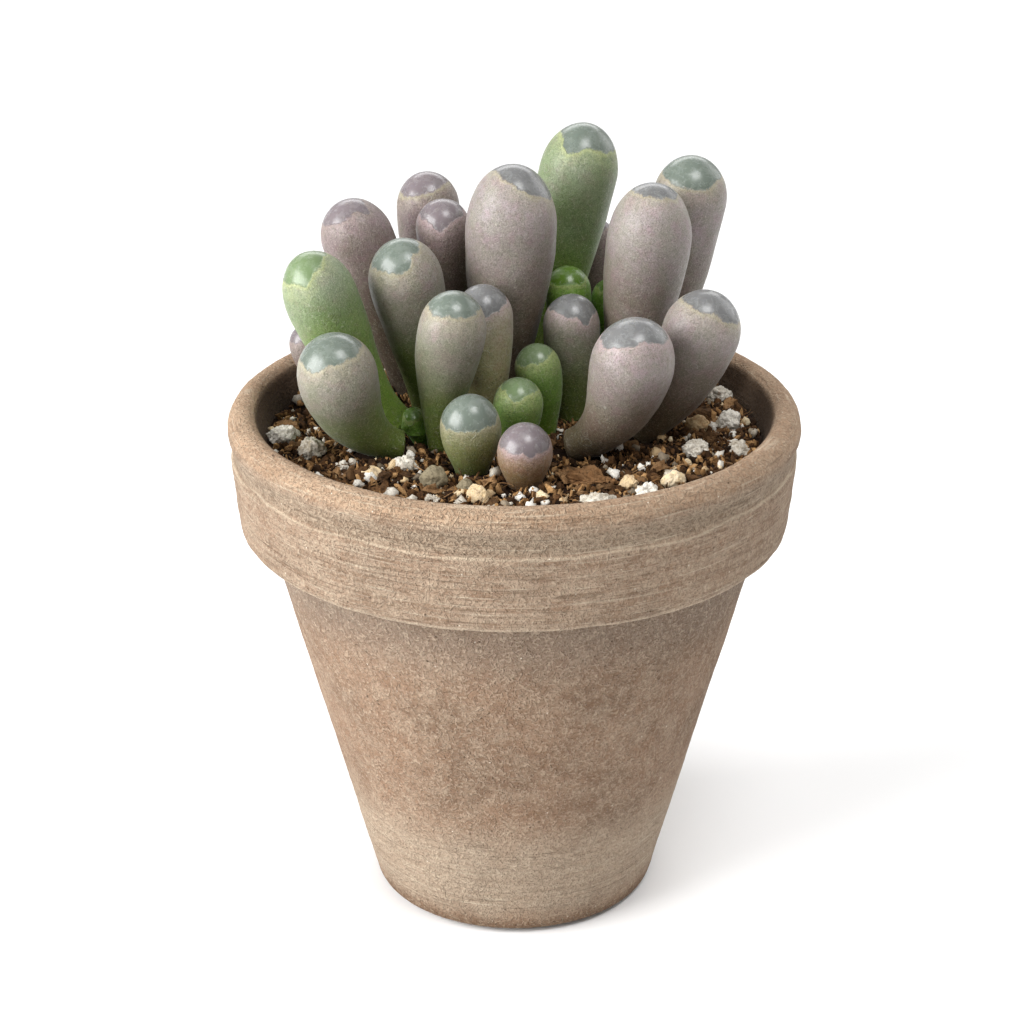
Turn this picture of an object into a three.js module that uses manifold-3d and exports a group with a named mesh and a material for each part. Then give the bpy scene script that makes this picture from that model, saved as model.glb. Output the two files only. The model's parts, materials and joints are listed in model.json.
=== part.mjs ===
// A clump of baby toes (Fenestraria) in a small clay pot.
// Units are millimetres, +Z is up, and the origin is the middle of the pot's flat base.
// The front of the plant faces -Y. Leaves are club shaped, each with a domed clear window at its crown.

import * as THREE from "three";
import { mergeVertices } from "three/addons/utils/BufferGeometryUtils.js";
import Module from "manifold-3d";

// ---- driving dimensions -------------------------------------------------------------------

const CLEARANCE = 0.3; // left between pieces that touch

// pot: a plain tapered flower pot with a deep collar and a drain hole
const POT_HEIGHT = 65;
const RIM_RADIUS = 35;
const LIP_ROUND = 2.2; // rounding of the lip's outer edge
const LIP_INNER_RADIUS = 31.2;
const LIP_INNER_DROP = 1.7; // the lip's inner edge lies this far under its top
const COLLAR_HEIGHT = 15.5;
const COLLAR_FOOT_RADIUS = 33.8;
const NECK_RADIUS = 30.6; // the body where it meets the collar
const BASE_RADIUS = 18.2;
const BASE_BEVEL = 1.4;
const FLOOR_THICKNESS = 5;
const FLOOR_RADIUS = 14.3;
const DRAIN_RADIUS = 5;
const POT_SEGMENTS = 48;

// soil and what grows in it
const SOIL_TOP = 59.5; // settled soil; the loose top dressing lies on it
const CROWN_RADIUS = 3.4; // where each rosette's stems and roots meet
const STEM_RADIUS = 1.5;
const STEM_HEIGHT = 58; // centre line of the creeping stems, which just show in the soil
const LEAF_SIDES = 10;

// ---- colours ------------------------------------------------------------------------------

const CLAY = new THREE.MeshStandardMaterial({ color: 0xa8896c, roughness: 0.9, metalness: 0 });
const PEAT = new THREE.MeshStandardMaterial({ color: 0x4a3222, roughness: 1, metalness: 0 });
const ROOT = new THREE.MeshStandardMaterial({ color: 0x9a7b55, roughness: 0.9, metalness: 0 });
const LEAF = new THREE.MeshStandardMaterial({ color: 0x8b9480, roughness: 0.5, metalness: 0 });
const PERLITE = new THREE.MeshStandardMaterial({ color: 0xe3e0d8, roughness: 0.95, metalness: 0 });
const PUMICE = new THREE.MeshStandardMaterial({ color: 0xd8bd8a, roughness: 0.95, metalness: 0 });
const GRAVEL = new THREE.MeshStandardMaterial({ color: 0x8a8578, roughness: 0.9, metalness: 0 });
const BARK = new THREE.MeshStandardMaterial({ color: 0x7d5533, roughness: 0.95, metalness: 0 });

// ---- helpers ------------------------------------------------------------------------------

const wasm = await Module();
wasm.setup();

// A named mesh, already in the part's frame.
function piece(name, geometry, material) {
  geometry.computeVertexNormals();
  const mesh = new THREE.Mesh(geometry, material);
  mesh.name = name;
  return mesh;
}

// A closed solid through rings of points, with a single point closing each end.
function loft(start, rings, end) {
  const sides = rings[0].length;
  const points = [start, ...rings.flat(), end];
  const last = points.length - 1;
  const at = (ring, side) => 1 + ring * sides + (side % sides);
  const index = [];
  for (let s = 0; s < sides; s++) {
    index.push(0, at(0, s + 1), at(0, s));
    index.push(last, at(rings.length - 1, s), at(rings.length - 1, s + 1));
    for (let r = 0; r + 1 < rings.length; r++) {
      index.push(at(r, s), at(r, s + 1), at(r + 1, s));
      index.push(at(r, s + 1), at(r + 1, s + 1), at(r + 1, s));
    }
  }
  const geometry = new THREE.BufferGeometry().setFromPoints(points);
  geometry.setIndex(index);
  return geometry;
}

// A limb of round section along a plane curve. stations lists [share of the length, radius].
function limb(curve, stations, sides) {
  const chord = new THREE.Vector3().subVectors(curve.v2, curve.v0);
  const bow = new THREE.Vector3().subVectors(curve.v1, curve.v0).cross(chord);
  const level = new THREE.Vector3().crossVectors(chord, new THREE.Vector3(0, 0, 1));
  const across = (bow.length() > 1e-3 ? bow : level).normalize();
  const rings = stations.map(([share, radius]) => {
    const centre = curve.getPointAt(share);
    const other = new THREE.Vector3().crossVectors(curve.getTangentAt(share), across).normalize();
    return Array.from({ length: sides }, (_, side) => {
      const turn = (2 * Math.PI * side) / sides;
      return centre
        .clone()
        .addScaledVector(across, radius * Math.cos(turn))
        .addScaledVector(other, radius * Math.sin(turn));
    });
  });
  return loft(curve.getPointAt(0), rings, curve.getPointAt(1));
}

// A turned solid: the profile is [radius, height] points, read anticlockwise with the axis on its left.
function turned(profile, segments = POT_SEGMENTS) {
  const points = profile.map(([radius, height]) => new THREE.Vector2(radius, height));
  return new THREE.LatheGeometry(points, segments).rotateX(Math.PI / 2);
}

// A copy of a geometry with only its positions.
function bareOf(geometry) {
  const bare = geometry.clone();
  bare.deleteAttribute("normal");
  bare.deleteAttribute("uv");
  return bare;
}

// A geometry as a manifold solid, with its shared corners merged.
function solid(geometry) {
  const merged = mergeVertices(bareOf(geometry), 1e-4);
  return new wasm.Manifold(
    new wasm.Mesh({
      numProp: 3,
      vertProperties: new Float32Array(merged.attributes.position.array),
      triVerts: new Uint32Array(merged.index.array),
    }),
  );
}

// A manifold solid as a geometry.
function geometryOf(made) {
  const mesh = made.getMesh();
  const geometry = new THREE.BufferGeometry();
  geometry.setAttribute("position", new THREE.BufferAttribute(mesh.vertProperties, 3));
  geometry.setIndex(new THREE.BufferAttribute(mesh.triVerts, 1));
  return geometry;
}

// ---- pot ----------------------------------------------------------------------------------

const lipInnerHeight = POT_HEIGHT - LIP_INNER_DROP;
const wallSlope = (LIP_INNER_RADIUS - FLOOR_RADIUS) / (lipInnerHeight - FLOOR_THICKNESS);
const innerRadius = (height) => FLOOR_RADIUS + (height - FLOOR_THICKNESS) * wallSlope;

// Points on a quarter round from one angle to another, in degrees.
function arc(centreRadius, centreHeight, radiusAcross, radiusUp, from, to, steps) {
  return Array.from({ length: steps + 1 }, (_, step) => {
    const angle = THREE.MathUtils.degToRad(from + ((to - from) * step) / steps);
    return [
      centreRadius + radiusAcross * Math.cos(angle),
      centreHeight + radiusUp * Math.sin(angle),
    ];
  });
}

function pot() {
  const collarFoot = POT_HEIGHT - COLLAR_HEIGHT;
  const lipCrown = RIM_RADIUS - LIP_ROUND;
  const profile = [
    [DRAIN_RADIUS, 0],
    [BASE_RADIUS - BASE_BEVEL, 0],
    [BASE_RADIUS - 0.3 * BASE_BEVEL, 0.3 * BASE_BEVEL],
    [BASE_RADIUS, BASE_BEVEL],
    [NECK_RADIUS, collarFoot],
    [COLLAR_FOOT_RADIUS - 0.6, collarFoot],
    [COLLAR_FOOT_RADIUS, collarFoot + 0.8],
    ...arc(lipCrown, POT_HEIGHT - LIP_ROUND, LIP_ROUND, LIP_ROUND, 0, 90, 4),
    ...arc(lipCrown, lipInnerHeight, lipCrown - LIP_INNER_RADIUS, LIP_INNER_DROP, 120, 180, 2),
    [FLOOR_RADIUS, FLOOR_THICKNESS],
    [DRAIN_RADIUS, FLOOR_THICKNESS],
    [DRAIN_RADIUS, 0],
  ];
  return piece("pot", turned(profile), CLAY);
}

// ---- rootstock ----------------------------------------------------------------------------

// The rosettes that make up the clump. Each has a crown, joined to the first one by a creeping stem,
// with a root that runs down to the given depth.
const ROSETTES = [
  { at: [1, 3], root: [-2, 1, 12], thick: 2 },
  { at: [-9, -4], root: [-9, -6, 24], thick: 1.4 },
  { at: [8, -6], root: [9, -3, 26], thick: 1.4 },
  { at: [-10, 13], root: [-7, 9, 22], thick: 1.4 },
  { at: [10, 13], root: [7, 9, 20], thick: 1.4 },
];
const STEM_SIDES = 6;

// A round limb between two points that tapers from one radius to another. A root also bends aside.
function stem(from, to, start, end, bend = 0) {
  const a = new THREE.Vector3(...from);
  const b = new THREE.Vector3(...to);
  const middle = a.clone().lerp(b, 0.5).add(new THREE.Vector3(bend, -bend, 0));
  const curve = new THREE.QuadraticBezierCurve3(a, middle, b);
  const shares = bend ? [0, 0.35, 0.7, 1] : [0, 1];
  const stations = shares.map((share) => [share, start + (end - start) * share]);
  return limb(curve, stations, STEM_SIDES);
}

// The rosette whose crown lies nearest to a leaf's foot.
function rosetteOf([x, y]) {
  const reach = ({ at }) => Math.hypot(at[0] - x, at[1] - y);
  return ROSETTES.reduce((best, each) => (reach(each) < reach(best) ? each : best));
}

// Crowns, stems and roots as one solid, thicker all round by spare.
function rootstockSolid(spare) {
  const [first] = ROSETTES;
  const high = (x, y) => [x, y, STEM_HEIGHT];
  const thick = STEM_RADIUS + spare;
  const limbs = [];
  for (const each of ROSETTES) {
    const crown = new THREE.SphereGeometry(CROWN_RADIUS + spare, 8, 4);
    crown.rotateX(Math.PI / 2).scale(1, 1, (STEM_RADIUS + spare) / (CROWN_RADIUS + spare));
    limbs.push(crown.translate(...high(...each.at)));
    limbs.push(stem(high(...each.at), each.root, each.thick + spare, 0.4 + spare, 2));
    if (each !== first) limbs.push(stem(high(...first.at), high(...each.at), thick, thick));
  }
  for (const { foot } of LEAVES) {
    const { at } = rosetteOf(foot);
    limbs.push(stem(high(...at), high(...foot), thick, thick));
  }
  return limbs.map(solid).reduce((whole, each) => whole.add(each));
}

// ---- soil ---------------------------------------------------------------------------------

// Settled soil fills the pot, with a channel for the rootstock that is open along the top.
function soil() {
  const bottom = FLOOR_THICKNESS + CLEARANCE;
  const fill = turned([
    [0, bottom],
    [innerRadius(bottom) - CLEARANCE, bottom],
    [innerRadius(SOIL_TOP) - CLEARANCE, SOIL_TOP],
    [0, SOIL_TOP],
  ]);
  return piece("soil", geometryOf(solid(fill).subtract(rootstockSolid(CLEARANCE))), PEAT);
}

// Larger pieces of top dressing that lie loose on the soil. Each has its place [x, y], its half
// sizes along its own axes and its turn about Z in degrees.
const TOP_DRESSING = [
  { name: "perlite_01", at: [-28.2, -2.6], half: [2, 1.5, 1.4], turn: 20, material: PERLITE },
  { name: "perlite_02", at: [-24.2, -7.6], half: [1.8, 1.7, 1.6], turn: 0, material: PERLITE },
  { name: "perlite_03", at: [-20.3, -11.6], half: [0.9, 0.8, 0.9], turn: 40, material: PERLITE },
  { name: "perlite_04", at: [-13, -12.2], half: [1.7, 1.4, 1.4], turn: 70, material: PERLITE },
  { name: "perlite_05", at: [-9.3, -21.9], half: [1, 0.8, 0.9], turn: 0, material: PERLITE },
  { name: "perlite_06", at: [0.6, -20.6], half: [1.1, 0.8, 0.7], turn: 15, material: PERLITE },
  { name: "perlite_07", at: [9.6, -22.6], half: [2.3, 1.6, 1.2], turn: 10, material: PERLITE },
  { name: "perlite_08", at: [15.2, -20.2], half: [1.5, 1.2, 1.3], turn: 35, material: PERLITE },
  { name: "perlite_09", at: [21.8, -7], half: [1.7, 1.4, 1.4], turn: 15, material: PERLITE },
  { name: "perlite_10", at: [26.4, 1.6], half: [1.7, 1.5, 1.6], turn: 60, material: PERLITE },
  { name: "perlite_11", at: [27, -6.2], half: [1.6, 1.1, 1.1], turn: 130, material: PERLITE },
  { name: "perlite_12", at: [26, 11.6], half: [1.7, 1.3, 1.3], turn: 0, material: PERLITE },
  { name: "pumice_01", at: [-16.8, -14.2], half: [1.8, 1.4, 1.1], turn: 160, material: PUMICE },
  { name: "pumice_02", at: [-4.2, -21.4], half: [1.8, 1.2, 1.4], turn: 120, material: PUMICE },
  { name: "pumice_03", at: [13.4, -16.6], half: [1.3, 1.1, 1], turn: 0, material: PUMICE },
  { name: "pumice_04", at: [18.6, -16.4], half: [1.7, 1.3, 1.3], turn: 50, material: PUMICE },
  { name: "pumice_05", at: [22.6, 1.4], half: [1.6, 1.5, 1.3], turn: 10, material: PUMICE },
  { name: "gravel_01", at: [-9.4, -16.6], half: [1.8, 1.5, 1.6], turn: 20, material: GRAVEL },
  { name: "gravel_02", at: [-5.6, -17.6], half: [1.2, 1, 1], turn: 70, material: GRAVEL },
  { name: "bark_chip_01", at: [8.2, -15.6], half: [4.2, 2.2, 1.4], turn: 160, material: BARK },
  { name: "bark_chip_02", at: [-14.6, -18.6], half: [3.2, 1.6, 0.8], turn: 170, material: BARK },
];

// A rough lump: a rounded solid with a few broad swellings.
function lump({ name, at, half, turn, material }) {
  const geometry = mergeVertices(bareOf(new THREE.IcosahedronGeometry(1, 1)), 1e-4);
  const places = geometry.attributes.position;
  for (let i = 0; i < places.count; i++) {
    const p = new THREE.Vector3().fromBufferAttribute(places, i);
    const swell = 0.92 + 0.08 * Math.sin(3.1 * p.x + at[0]) * Math.cos(2.7 * p.y + at[1]);
    places.setXYZ(i, ...p.multiplyScalar(swell));
  }
  geometry.scale(...half).rotateZ(THREE.MathUtils.degToRad(turn));
  geometry.translate(at[0], at[1], SOIL_TOP + CLEARANCE + half[2]);
  return piece(name, geometry, material);
}

// ---- leaves -------------------------------------------------------------------------------

// Every leaf runs from its foot [x, y] on the soil, past a bend, to the tip of its crown.
// head is the radius of its widest part, neck the radius at the foot, and dome the length of its
// crown in head radii.
const LEAVES = [
  // front: two short plump leaves and two small green ones
  { name: "leaf_01", foot: [1.2, -15.5], bend: [1.2, -15.8, 64], tip: [1.3, -17, 68],
    head: 3.3, neck: 1.9, dome: 1.1 },
  { name: "leaf_02", foot: [-5, -11.5], bend: [-5.1, -12, 65], tip: [-5.1, -13.5, 70.2],
    head: 3.6, neck: 1.9, dome: 1.2 },
  { name: "leaf_03", foot: [0.2, -3.8], bend: [0.3, -3.8, 65], tip: [0.7, -4.5, 69.2],
    head: 3, neck: 1.9, dome: 1.1 },
  { name: "leaf_04", foot: [3.6, 1.4], bend: [3.6, 1.3, 66], tip: [2.2, 0.8, 71.7],
    head: 2.8, neck: 1.6, dome: 1.1 },
  // left side
  { name: "leaf_05", foot: [-13.6, -6.2], bend: [-20.8, -8, 63.2], tip: [-21.2, -10.5, 76.7],
    head: 4.75, neck: 1.9, dome: 1.1 },
  { name: "leaf_06", foot: [-14, 2], bend: [-19.4, 1.5, 65], tip: [-25, 0, 83.5],
    head: 4.5, neck: 2, dome: 1.3 },
  { name: "leaf_07", foot: [-11, -2.4], bend: [-11.8, -2.8, 61.8], tip: [-12.6, -3.4, 65],
    head: 1.6, neck: 1.1, dome: 1.1 },
  { name: "leaf_08", foot: [-9, -4.6], bend: [-9, -5, 68], tip: [-6.5, -6, 80.6],
    head: 4.05, neck: 1.4, dome: 1.2 },
  { name: "leaf_09", foot: [-3.4, 0.8], bend: [-3.5, 0.6, 70], tip: [-3.9, 1.5, 79.2],
    head: 3.5, neck: 1.8, dome: 1.2 },
  { name: "leaf_10", foot: [-11, 7], bend: [-11.4, 6.5, 70], tip: [-14.1, 4, 83.8],
    head: 4.5, neck: 1.6, dome: 1.2 },
  { name: "leaf_11", foot: [-13.4, 15], bend: [-15.4, 14, 72], tip: [-21.4, 13, 86.1],
    head: 4.5, neck: 2, dome: 1.15 },
  { name: "leaf_12", foot: [-22, 6.5], bend: [-24, 6.5, 65], tip: [-26.3, 7.5, 72],
    head: 2.4, neck: 1.4, dome: 1.15 },
  // right side
  { name: "leaf_13", foot: [6.8, -6.6], bend: [13.4, -8.6, 64], tip: [14.4, -12, 79],
    head: 4.9, neck: 2.1, dome: 1.15 },
  { name: "leaf_14", foot: [15, -1.5], bend: [20.3, -2.4, 66], tip: [23.5, -3.5, 79.8],
    head: 4.7, neck: 2, dome: 1.15 },
  { name: "leaf_15", foot: [7.2, 5.6], bend: [7.2, 5.6, 68], tip: [7, 5.8, 76.5],
    head: 3.5, neck: 1.9, dome: 1.15 },
  { name: "leaf_16", foot: [13.4, 8], bend: [15.4, 7.5, 74], tip: [17.1, 6, 90.3],
    head: 5.05, neck: 2.3, dome: 1.35 },
  { name: "leaf_17", foot: [18, 15.5], bend: [19.6, 15.5, 74], tip: [22.6, 15, 91.3],
    head: 4.6, neck: 2, dome: 1.2 },
  // middle
  { name: "leaf_18", foot: [-1.4, 9.8], bend: [-1, 9.4, 74], tip: [0.1, 8.4, 92],
    head: 5.65, neck: 2.3, dome: 1.4 },
  { name: "leaf_19", foot: [7.4, 13], bend: [7.4, 13, 68], tip: [6.4, 12.6, 77.9],
    head: 2.9, neck: 1.6, dome: 1.15 },
  { name: "leaf_20", foot: [4.2, 20.5], bend: [4.8, 20.6, 75], tip: [9.5, 20.6, 94],
    head: 4.95, neck: 2, dome: 1.3 },
  { name: "leaf_21", foot: [12, 14.5], bend: [12, 15, 68], tip: [12, 15.5, 75.4],
    head: 2.2, neck: 1.4, dome: 1.15 },
  { name: "leaf_22", foot: [-7.6, 17.6], bend: [-8, 17, 72], tip: [-9.2, 15, 85.7],
    head: 3.45, neck: 1.7, dome: 1.15 },
  { name: "leaf_23", foot: [-10.6, 22.4], bend: [-10.7, 23.4, 72], tip: [-11.2, 23.6, 87],
    head: 4, neck: 1.8, dome: 1.15 },
  // back, where the front leaves hide most of each
  { name: "leaf_24", foot: [12, 22.4], bend: [11.8, 24.4, 70], tip: [10.2, 27, 79.8],
    head: 2.7, neck: 1.6, dome: 1.15 },
  { name: "leaf_25", foot: [-2.6, 21.5], bend: [-2.8, 24, 68], tip: [-3.4, 25.5, 80],
    head: 3.9, neck: 1.8, dome: 1.2 },
  { name: "leaf_26", foot: [16.6, 21.6], bend: [17.4, 22.4, 67], tip: [17.6, 23, 75],
    head: 2.9, neck: 1.6, dome: 1.15 },
  { name: "leaf_27", foot: [3.4, 26.2], bend: [3.6, 27.6, 64], tip: [3.8, 28.4, 70.4],
    head: 2.6, neck: 1.5, dome: 1.15 },
  { name: "leaf_28", foot: [20.4, 8.6], bend: [23.4, 9.2, 64.5], tip: [24, 10, 70.5],
    head: 2.5, neck: 1.5, dome: 1.15 },
];
const LEAF_TAPER = 0.85; // under 1, the leaf fattens sooner above its foot
const BODY_SHARES = [0, 0.2, 0.4, 0.6, 0.8, 1]; // of the stretch below the widest part
const DOME_ANGLES = [28, 52, 73]; // degrees above the widest part

function leaf({ name, foot, bend, tip, head, neck, dome }) {
  const away = Math.hypot(bend[0] - foot[0], bend[1] - foot[1]);
  const lean = away / Math.hypot(away, bend[2] - SOIL_TOP);
  const curve = new THREE.QuadraticBezierCurve3(
    new THREE.Vector3(...foot, SOIL_TOP + CLEARANCE + lean * neck),
    new THREE.Vector3(...bend),
    new THREE.Vector3(...tip),
  );
  const widest = 1 - (dome * head) / curve.getLength();
  const body = BODY_SHARES.map((share) => [
    share * widest,
    neck + (head - neck) * THREE.MathUtils.smoothstep(share ** LEAF_TAPER, 0, 1),
  ]);
  const crown = DOME_ANGLES.map((degrees) => {
    const angle = THREE.MathUtils.degToRad(degrees);
    return [widest + (1 - widest) * Math.sin(angle), head * Math.cos(angle)];
  });
  return piece(name, limb(curve, [...body, ...crown], LEAF_SIDES), LEAF);
}

// ---- the whole ----------------------------------------------------------------------------

const plant = new THREE.Group();
plant.add(pot(), soil(), piece("rootstock", geometryOf(rootstockSolid(0)), ROOT));
for (const each of LEAVES) plant.add(leaf(each));
for (const each of TOP_DRESSING) plant.add(lump(each));

export default plant;
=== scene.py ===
"""A clump of baby toes in a weathered clay pot: the finish of every surface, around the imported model."""

import json
import math

import bmesh
import bpy
import numpy as np
from bpy.props import FloatProperty, FloatVectorProperty, IntProperty, PointerProperty
from mathutils import Euler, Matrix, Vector, noise

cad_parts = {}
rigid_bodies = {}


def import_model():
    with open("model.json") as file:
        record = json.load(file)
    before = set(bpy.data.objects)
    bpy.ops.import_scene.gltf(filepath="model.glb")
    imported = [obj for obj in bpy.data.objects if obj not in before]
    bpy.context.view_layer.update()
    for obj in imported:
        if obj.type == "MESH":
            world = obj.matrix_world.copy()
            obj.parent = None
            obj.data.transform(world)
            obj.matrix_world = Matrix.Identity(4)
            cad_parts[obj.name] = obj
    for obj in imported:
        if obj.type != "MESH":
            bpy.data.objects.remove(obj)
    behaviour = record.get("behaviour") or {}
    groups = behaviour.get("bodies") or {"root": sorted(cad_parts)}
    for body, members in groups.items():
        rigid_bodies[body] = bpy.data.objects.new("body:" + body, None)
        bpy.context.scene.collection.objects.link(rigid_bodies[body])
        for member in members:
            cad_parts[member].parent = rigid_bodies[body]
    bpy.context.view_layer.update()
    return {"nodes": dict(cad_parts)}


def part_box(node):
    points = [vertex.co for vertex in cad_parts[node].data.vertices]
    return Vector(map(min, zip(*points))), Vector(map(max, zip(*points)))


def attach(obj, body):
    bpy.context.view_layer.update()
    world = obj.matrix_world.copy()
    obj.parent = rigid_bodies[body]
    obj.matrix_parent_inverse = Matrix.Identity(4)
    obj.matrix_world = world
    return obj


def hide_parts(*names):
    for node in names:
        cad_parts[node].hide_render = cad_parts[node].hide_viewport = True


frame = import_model()

bl_info = {
    "name": "Potted Baby Toes",
    "version": (1, 0, 0),
    "blender": (4, 5, 0),
    "location": "View3D > Sidebar > Baby Toes",
    "description": "Builds a clump of window-leaved succulents in a clay pot around its packed model",
    "category": "Add Mesh",
}

MM = 0.001
BODY = "root"


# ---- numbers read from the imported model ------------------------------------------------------


def nodes_named(start):
    """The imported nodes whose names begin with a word, in order."""
    return sorted(name for name in frame["nodes"] if name.startswith(start))


def welded(node):
    """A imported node's corners in millimetres, each once, and its triangles."""
    mesh = frame["nodes"][node].data
    places = np.empty(len(mesh.vertices) * 3, np.float32)
    mesh.vertices.foreach_get("co", places)
    microns = np.round(places.reshape(-1, 3) * 1e6).astype(np.int64)
    corners, same = np.unique(microns, axis=0, return_inverse=True)
    triangles = np.array([tuple(face.vertices) for face in mesh.polygons])
    return corners * 1e-3, same.reshape(-1)[triangles]


def neighbours(triangles):
    """The corners that share an edge with each corner."""
    found = {}
    for a, b, c in triangles.tolist():
        found.setdefault(a, set()).update((b, c))
        found.setdefault(b, set()).update((a, c))
        found.setdefault(c, set()).update((a, b))
    return found


def pot_section():
    """The pot's section as (radius, height) points, from the drain hole outwards and back."""
    corners, triangles = welded("pot")
    cut = {i for i, p in enumerate(corners) if abs(p[1]) < 1e-3 and p[0] > 0}
    beside = neighbours(triangles)
    start = min(cut, key=lambda i: (corners[i][2], corners[i][0]))
    step = max(beside[start] & cut, key=lambda i: corners[i][0] - corners[i][2])
    walk = [start, step]
    while True:
        onward = (beside[walk[-1]] & cut) - set(walk[-2:])
        if start in onward or not onward:
            break
        walk.append(onward.pop())
    return np.array([(corners[i][0], corners[i][2]) for i in walk])


class LeafLine:
    """A leaf's centre line and girth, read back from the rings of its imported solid."""

    def __init__(self, node):
        corners, triangles = welded(node)
        beside = neighbours(triangles)
        poles = sorted(beside, key=lambda i: -len(beside[i]))[:2]
        crown = max(poles, key=lambda i: corners[i][2])
        seen, ring, centres, girths = {crown}, {crown}, [corners[crown]], [0.0]
        while True:
            ring = set().union(*(beside[i] for i in ring)) - seen
            seen |= ring
            if len(ring) < 2:
                break
            around = corners[list(ring)]
            centres.append(around.mean(0))
            girths.append(np.linalg.norm(around - around.mean(0), axis=1).mean())
        centres, girths = np.array(centres[::-1]), np.array(girths[::-1])
        gaps = np.linalg.norm(np.diff(centres, axis=0), axis=1)
        at = np.concatenate([[0], np.cumsum(gaps)])
        self.length = at[-1]
        self.curve = np.polyfit(at / self.length, centres, 4)
        self.slope = self.curve[:-1] * np.arange(4, 0, -1)[:, None]
        self.widest = at[girths.argmax()] / self.length
        self.head = girths.max()
        self.neck = girths[0]

    def centre(self, share):
        return np.stack([np.polyval(self.curve[:, k], share) for k in range(3)], -1)

    def frame_at(self, share):
        """The way the leaf points, its front and its right-hand side, at a share of its length."""
        along = np.stack([np.polyval(self.slope[:, k], share) for k in range(3)], -1)
        along /= np.linalg.norm(along)
        front = np.array([0, -1, 0]) + along * along[1]
        front /= np.linalg.norm(front)
        return along, front, np.cross(along, front)

    def girth(self, share, taper=0.85):
        below = np.clip(share / self.widest, 0, 1) ** taper
        body = self.neck + (self.head - self.neck) * below * below * (3 - 2 * below)
        over = np.clip((share - self.widest) / (1 - self.widest), 0, 1)
        return np.where(share < self.widest, body, self.head * np.sqrt(1 - over * over))


LEAVES = {name: LeafLine(name) for name in nodes_named("leaf_")}
SOIL_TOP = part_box("soil")[1].z / MM
SECTION = pot_section()


def inner_radius(height):
    """The radius of the pot's inner wall at a height."""
    low, high = SECTION[-2], SECTION[-3]
    return float(np.interp(height, [low[1], high[1]], [low[0], high[0]]))


# ---- sizes and colours that a user would change ----------------------------------------------


def srgb(code):
    """A hex colour as linear red, green and blue."""
    parts = [int(code[i : i + 2], 16) / 255 for i in (0, 2, 4)]
    return tuple(p / 12.92 if p <= 0.04045 else ((p + 0.055) / 1.055) ** 2.4 for p in parts)


def colour(name, description, code):
    return FloatVectorProperty(
        name=name, description=description, default=srgb(code), subtype="COLOR", min=0, max=1
    )


def length(name, description, millimetres):
    return FloatProperty(
        name=name, description=description, default=millimetres * MM, unit="LENGTH", min=0
    )


class PotLook(bpy.types.PropertyGroup):
    clay: colour("Clay", "Colour of the bare fired clay", "8b705b")
    dark_clay: colour("Dark clay", "Colour of the damp and rubbed patches", "715a48")
    bloom: colour("Bloom", "Colour of the lime bloom on the collar and foot", "ab9883")
    ledge_height: length("Ledge", "Height of the shallow ledge that runs round the collar", 59.3)
    dent: length("Dent", "Depth of the broad unevenness of the wall", 0.1)


class LeafLook(bpy.types.PropertyGroup):
    sides: IntProperty(name="Sides", description="Faces around each leaf", default=60, min=12)
    body_rows: IntProperty(name="Body rows", description="Rows of faces below the head", default=44)
    dome_rows: IntProperty(name="Dome rows", description="Rows of faces over the crown", default=30)
    swell: FloatProperty(
        name="Swell", description="Unevenness of the girth, as a share of it", default=0.022
    )


class SoilLook(bpy.types.PropertyGroup):
    level: length("Level", "Mean height of the loose surface over the settled soil", 0.9)
    clumps: length("Clumps", "Height of the clumps", 0.9)
    peat: colour("Peat", "Colour of damp peat", "2b1a10")
    seed: IntProperty(name="Seed", description="Seed of the scattered grains", default=4)


class StageLook(bpy.types.PropertyGroup):
    floor_radius: length("Floor", "Radius of the floor", 3000)
    floor: colour("Floor colour", "Colour of the floor", "f6f6f6")


# ---- helpers for shader and geometry node trees ----------------------------------------------


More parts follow.
